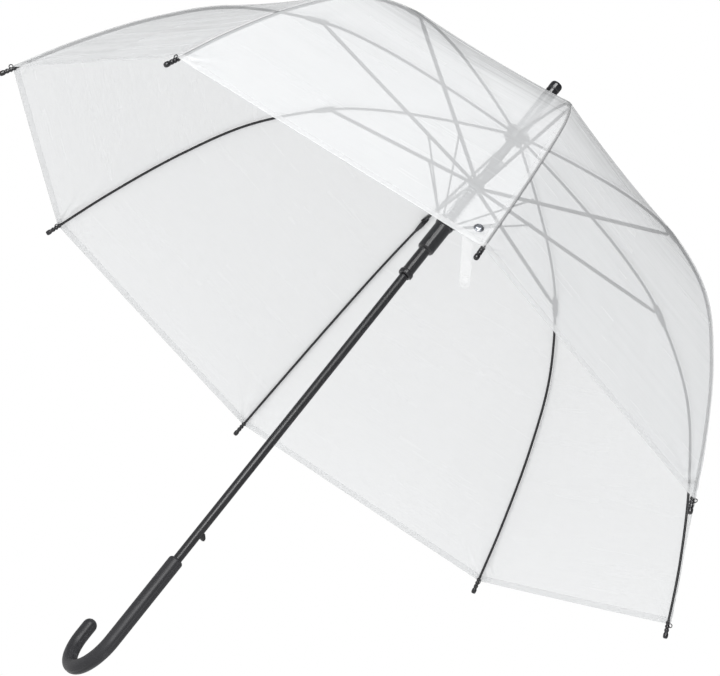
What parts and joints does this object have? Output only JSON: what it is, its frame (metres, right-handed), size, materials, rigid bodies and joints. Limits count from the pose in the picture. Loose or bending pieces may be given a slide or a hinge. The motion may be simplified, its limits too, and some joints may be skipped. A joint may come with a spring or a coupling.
{
  "type": "dome stick umbrella",
  "caption": "Clear-film dome umbrella on a straight black shaft with a crook handle, sprung runner, jointed ribs and stretchers, shown open.",
  "frame": {"origin": "middle of the straight hand grip, on the shaft's axis", "axes": "+Z along the shaft from the grip to the ferrule, +X towards the side the crook's open end is on, +Y completes a right-handed set; the release button is on the -Y side"},
  "size_m": [0.8932, 0.8932, 0.8475],
  "materials": {
    "coated_steel": "black coated steel wire and tube, satin",
    "gloss_black": "moulded black plastic, glossy",
    "grip_charcoal": "moulded charcoal plastic, satin, with a seam along each side",
    "spring_steel": "bare spring wire",
    "clear_film": "slightly milky see-through film, glossy, with welded seams and a welded hem",
    "stud_metal": "polished press stud"
  },
  "bodies": {
    "root": {"shaft": "coated_steel", "handle": "grip_charcoal", "crown": "gloss_black", "canopy_washer": "gloss_black", "ferrule": "gloss_black", "catch_spring": "spring_steel"},
    "runner": {"runner": "gloss_black", "opening_spring": "spring_steel"},
    "upper_hub": {"upper_hub": "gloss_black"},
    "release_button": {"release_button": "gloss_black"},
    "rib_1": {"rib_inner_1": "coated_steel", "canopy_panel_1": "clear_film"},
    "rib_outer_1": {"rib_outer_1": "coated_steel", "rib_tip_1": "gloss_black"},
    "stretcher_1": {"stretcher_1": "coated_steel"},
    "link_1": {"link_1": "coated_steel"},
    "rib_2": {"rib_inner_2": "coated_steel", "canopy_panel_2": "clear_film"},
    "rib_outer_2": {"rib_outer_2": "coated_steel", "rib_tip_2": "gloss_black"},
    "stretcher_2": {"stretcher_2": "coated_steel"},
    "link_2": {"link_2": "coated_steel"},
    "rib_3": {"rib_inner_3": "coated_steel", "canopy_panel_3": "clear_film"},
    "rib_outer_3": {"rib_outer_3": "coated_steel", "rib_tip_3": "gloss_black"},
    "stretcher_3": {"stretcher_3": "coated_steel"},
    "link_3": {"link_3": "coated_steel"},
    "rib_4": {"rib_inner_4": "coated_steel", "canopy_panel_4": "clear_film"},
    "rib_outer_4": {"rib_outer_4": "coated_steel", "rib_tip_4": "gloss_black", "closing_strap": "clear_film", "press_stud": "stud_metal"},
    "stretcher_4": {"stretcher_4": "coated_steel"},
    "link_4": {"link_4": "coated_steel"},
    "rib_5": {"rib_inner_5": "coated_steel", "canopy_panel_5": "clear_film"},
    "rib_outer_5": {"rib_outer_5": "coated_steel", "rib_tip_5": "gloss_black"},
    "stretcher_5": {"stretcher_5": "coated_steel"},
    "link_5": {"link_5": "coated_steel"},
    "rib_6": {"rib_inner_6": "coated_steel", "canopy_panel_6": "clear_film"},
    "rib_outer_6": {"rib_outer_6": "coated_steel", "rib_tip_6": "gloss_black"},
    "stretcher_6": {"stretcher_6": "coated_steel"},
    "link_6": {"link_6": "coated_steel"},
    "rib_7": {"rib_inner_7": "coated_steel", "canopy_panel_7": "clear_film"},
    "rib_outer_7": {"rib_outer_7": "coated_steel", "rib_tip_7": "gloss_black"},
    "stretcher_7": {"stretcher_7": "coated_steel"},
    "link_7": {"link_7": "coated_steel"},
    "rib_8": {"rib_inner_8": "coated_steel", "canopy_panel_8": "clear_film"},
    "rib_outer_8": {"rib_outer_8": "coated_steel", "rib_tip_8": "gloss_black"},
    "stretcher_8": {"stretcher_8": "coated_steel"},
    "link_8": {"link_8": "coated_steel"}
  },
  "joints": [
    {"name": "runner_slide", "type": "slide", "parent": "root", "child": "runner", "axis": [0, 0, -1], "range_m": [0, 0.3628], "stiffness_N_per_m": 40, "springref_m": -0.35, "deforming": ["canopy_panel_1", "canopy_panel_2", "canopy_panel_3", "canopy_panel_4", "canopy_panel_5", "canopy_panel_6", "canopy_panel_7", "canopy_panel_8", "closing_strap"]},
    {"name": "hub_slide", "type": "slide", "parent": "runner", "child": "upper_hub", "axis": [0, 0, -1], "range_m": [0, 0.0335], "deforming": ["opening_spring"]},
    {"name": "button_press", "type": "slide", "parent": "root", "child": "release_button", "axis": [0, 1, 0], "range_m": [0, 0.0045], "stiffness_N_per_m": 400, "springref_m": -0.005, "deforming": ["catch_spring"]},
    {"name": "rib_1_pivot", "type": "hinge", "parent": "root", "child": "rib_1", "pos_m": [0.00704, 0.00379, 0.6674], "axis": [-0.4741, 0.8805, 0], "range_deg": [0, 74.8]},
    {"name": "rib_1_flex", "type": "hinge", "parent": "rib_1", "child": "rib_outer_1", "pos_m": [0.21281, 0.11459, 0.6192], "axis": [-0.4741, 0.8805, 0], "range_deg": [-35, 0]},
    {"name": "stretcher_1_pivot", "type": "hinge", "parent": "upper_hub", "child": "stretcher_1", "pos_m": [0.00652, 0.00351, 0.5902], "axis": [-0.4741, 0.8805, 0], "range_deg": [-80.6, 0]},
    {"name": "link_1_pivot", "type": "hinge", "parent": "runner", "child": "link_1", "pos_m": [0.00836, 0.0045, 0.533], "axis": [-0.4741, 0.8805, 0], "range_deg": [-44.5, 0]},
    {"name": "rib_2_pivot", "type": "hinge", "parent": "root", "child": "rib_2", "pos_m": [0.0023, 0.00766, 0.6674], "axis": [-0.9578, 0.2874, 0], "range_deg": [0, 74.8]},
    {"name": "rib_2_flex", "type": "hinge", "parent": "rib_2", "child": "rib_outer_2", "pos_m": [0.06946, 0.23151, 0.6192], "axis": [-0.9578, 0.2874, 0], "range_deg": [-35, 0]},
    {"name": "stretcher_2_pivot", "type": "hinge", "parent": "upper_hub", "child": "stretcher_2", "pos_m": [0.00213, 0.00709, 0.5902], "axis": [-0.9578, 0.2874, 0], "range_deg": [-80.6, 0]},
    {"name": "link_2_pivot", "type": "hinge", "parent": "runner", "child": "link_2", "pos_m": [0.00273, 0.0091, 0.533], "axis": [-0.9578, 0.2874, 0], "range_deg": [-44.5, 0]},
    {"name": "rib_3_pivot", "type": "hinge", "parent": "root", "child": "rib_3", "pos_m": [-0.00379, 0.00704, 0.6674], "axis": [-0.8805, -0.4741, 0], "range_deg": [0, 74.8]},
    {"name": "rib_3_flex", "type": "hinge", "parent": "rib_3", "child": "rib_outer_3", "pos_m": [-0.11459, 0.21281, 0.6192], "axis": [-0.8805, -0.4741, 0], "range_deg": [-35, 0]},
    {"name": "stretcher_3_pivot", "type": "hinge", "parent": "upper_hub", "child": "stretcher_3", "pos_m": [-0.00351, 0.00652, 0.5902], "axis": [-0.8805, -0.4741, 0], "range_deg": [-80.6, 0]},
    {"name": "link_3_pivot", "type": "hinge", "parent": "runner", "child": "link_3", "pos_m": [-0.0045, 0.00836, 0.533], "axis": [-0.8805, -0.4741, 0], "range_deg": [-44.5, 0]},
    {"name": "rib_4_pivot", "type": "hinge", "parent": "root", "child": "rib_4", "pos_m": [-0.00766, 0.0023, 0.6674], "axis": [-0.2874, -0.9578, 0], "range_deg": [0, 74.8]},
    {"name": "rib_4_flex", "type": "hinge", "parent": "rib_4", "child": "rib_outer_4", "pos_m": [-0.23151, 0.06946, 0.6192], "axis": [-0.2874, -0.9578, 0], "range_deg": [-35, 0]},
    {"name": "stretcher_4_pivot", "type": "hinge", "parent": "upper_hub", "child": "stretcher_4", "pos_m": [-0.00709, 0.00213, 0.5902], "axis": [-0.2874, -0.9578, 0], "range_deg": [-80.6, 0]},
    {"name": "link_4_pivot", "type": "hinge", "parent": "runner", "child": "link_4", "pos_m": [-0.0091, 0.00273, 0.533], "axis": [-0.2874, -0.9578, 0], "range_deg": [-44.5, 0]},
    {"name": "rib_5_pivot", "type": "hinge", "parent": "root", "child": "rib_5", "pos_m": [-0.00704, -0.00379, 0.6674], "axis": [0.4741, -0.8805, 0], "range_deg": [0, 74.8]},
    {"name": "rib_5_flex", "type": "hinge", "parent": "rib_5", "child": "rib_outer_5", "pos_m": [-0.21281, -0.11459, 0.6192], "axis": [0.4741, -0.8805, 0], "range_deg": [-35, 0]},
    {"name": "stretcher_5_pivot", "type": "hinge", "parent": "upper_hub", "child": "stretcher_5", "pos_m": [-0.00652, -0.00351, 0.5902], "axis": [0.4741, -0.8805, 0], "range_deg": [-80.6, 0]},
    {"name": "link_5_pivot", "type": "hinge", "parent": "runner", "child": "link_5", "pos_m": [-0.00836, -0.0045, 0.533], "axis": [0.4741, -0.8805, 0], "range_deg": [-44.5, 0]},
    {"name": "rib_6_pivot", "type": "hinge", "parent": "root", "child": "rib_6", "pos_m": [-0.0023, -0.00766, 0.6674], "axis": [0.9578, -0.2874, 0], "range_deg": [0, 74.8]},
    {"name": "rib_6_flex", "type": "hinge", "parent": "rib_6", "child": "rib_outer_6", "pos_m": [-0.06946, -0.23151, 0.6192], "axis": [0.9578, -0.2874, 0], "range_deg": [-35, 0]},
    {"name": "stretcher_6_pivot", "type": "hinge", "parent": "upper_hub", "child": "stretcher_6", "pos_m": [-0.00213, -0.00709, 0.5902], "axis": [0.9578, -0.2874, 0], "range_deg": [-80.6, 0]},
    {"name": "link_6_pivot", "type": "hinge", "parent": "runner", "child": "link_6", "pos_m": [-0.00273, -0.0091, 0.533], "axis": [0.9578, -0.2874, 0], "range_deg": [-44.5, 0]},
    {"name": "rib_7_pivot", "type": "hinge", "parent": "root", "child": "rib_7", "pos_m": [0.00379, -0.00704, 0.6674], "axis": [0.8805, 0.4741, 0], "range_deg": [0, 74.8]},
    {"name": "rib_7_flex", "type": "hinge", "parent": "rib_7", "child": "rib_outer_7", "pos_m": [0.11459, -0.21281, 0.6192], "axis": [0.8805, 0.4741, 0], "range_deg": [-35, 0]},
    {"name": "stretcher_7_pivot", "type": "hinge", "parent": "upper_hub", "child": "stretcher_7", "pos_m": [0.00351, -0.00652, 0.5902], "axis": [0.8805, 0.4741, 0], "range_deg": [-80.6, 0]},
    {"name": "link_7_pivot", "type": "hinge", "parent": "runner", "child": "link_7", "pos_m": [0.0045, -0.00836, 0.533], "axis": [0.8805, 0.4741, 0], "range_deg": [-44.5, 0]},
    {"name": "rib_8_pivot", "type": "hinge", "parent": "root", "child": "rib_8", "pos_m": [0.00766, -0.0023, 0.6674], "axis": [0.2874, 0.9578, 0], "range_deg": [0, 74.8]},
    {"name": "rib_8_flex", "type": "hinge", "parent": "rib_8", "child": "rib_outer_8", "pos_m": [0.23151, -0.06946, 0.6192], "axis": [0.2874, 0.9578, 0], "range_deg": [-35, 0]},
    {"name": "stretcher_8_pivot", "type": "hinge", "parent": "upper_hub", "child": "stretcher_8", "pos_m": [0.00709, -0.00213, 0.5902], "axis": [0.2874, 0.9578, 0], "range_deg": [-80.6, 0]},
    {"name": "link_8_pivot", "type": "hinge", "parent": "runner", "child": "link_8", "pos_m": [0.0091, -0.00273, 0.533], "axis": [0.2874, 0.9578, 0], "range_deg": [-44.5, 0]}
  ],
  "couplings": [
    {"joint": "hub_slide", "follows": "runner_slide", "ratio": 0.090566},
    {"joint": "rib_1_pivot", "follows": "runner_slide", "rad_per_m": 3.5523},
    {"joint": "rib_1_flex", "follows": "runner_slide", "rad_per_m": -1.6355},
    {"joint": "stretcher_1_pivot", "follows": "runner_slide", "rad_per_m": -3.8306},
    {"joint": "link_1_pivot", "follows": "runner_slide", "rad_per_m": -2.0912},
    {"joint": "rib_2_pivot", "follows": "runner_slide", "rad_per_m": 3.5523},
    {"joint": "rib_2_flex", "follows": "runner_slide", "rad_per_m": -1.6355},
    {"joint": "stretcher_2_pivot", "follows": "runner_slide", "rad_per_m": -3.8306},
    {"joint": "link_2_pivot", "follows": "runner_slide", "rad_per_m": -2.0912},
    {"joint": "rib_3_pivot", "follows": "runner_slide", "rad_per_m": 3.5523},
    {"joint": "rib_3_flex", "follows": "runner_slide", "rad_per_m": -1.6355},
    {"joint": "stretcher_3_pivot", "follows": "runner_slide", "rad_per_m": -3.8306},
    {"joint": "link_3_pivot", "follows": "runner_slide", "rad_per_m": -2.0912},
    {"joint": "rib_4_pivot", "follows": "runner_slide", "rad_per_m": 3.5523},
    {"joint": "rib_4_flex", "follows": "runner_slide", "rad_per_m": -1.6355},
    {"joint": "stretcher_4_pivot", "follows": "runner_slide", "rad_per_m": -3.8306},
    {"joint": "link_4_pivot", "follows": "runner_slide", "rad_per_m": -2.0912},
    {"joint": "rib_5_pivot", "follows": "runner_slide", "rad_per_m": 3.5523},
    {"joint": "rib_5_flex", "follows": "runner_slide", "rad_per_m": -1.6355},
    {"joint": "stretcher_5_pivot", "follows": "runner_slide", "rad_per_m": -3.8306},
    {"joint": "link_5_pivot", "follows": "runner_slide", "rad_per_m": -2.0912},
    {"joint": "rib_6_pivot", "follows": "runner_slide", "rad_per_m": 3.5523},
    {"joint": "rib_6_flex", "follows": "runner_slide", "rad_per_m": -1.6355},
    {"joint": "stretcher_6_pivot", "follows": "runner_slide", "rad_per_m": -3.8306},
    {"joint": "link_6_pivot", "follows": "runner_slide", "rad_per_m": -2.0912},
    {"joint": "rib_7_pivot", "follows": "runner_slide", "rad_per_m": 3.5523},
    {"joint": "rib_7_flex", "follows": "runner_slide", "rad_per_m": -1.6355},
    {"joint": "stretcher_7_pivot", "follows": "runner_slide", "rad_per_m": -3.8306},
    {"joint": "link_7_pivot", "follows": "runner_slide", "rad_per_m": -2.0912},
    {"joint": "rib_8_pivot", "follows": "runner_slide", "rad_per_m": 3.5523},
    {"joint": "rib_8_flex", "follows": "runner_slide", "rad_per_m": -1.6355},
    {"joint": "stretcher_8_pivot", "follows": "runner_slide", "rad_per_m": -3.8306},
    {"joint": "link_8_pivot", "follows": "runner_slide", "rad_per_m": -2.0912}
  ]
}
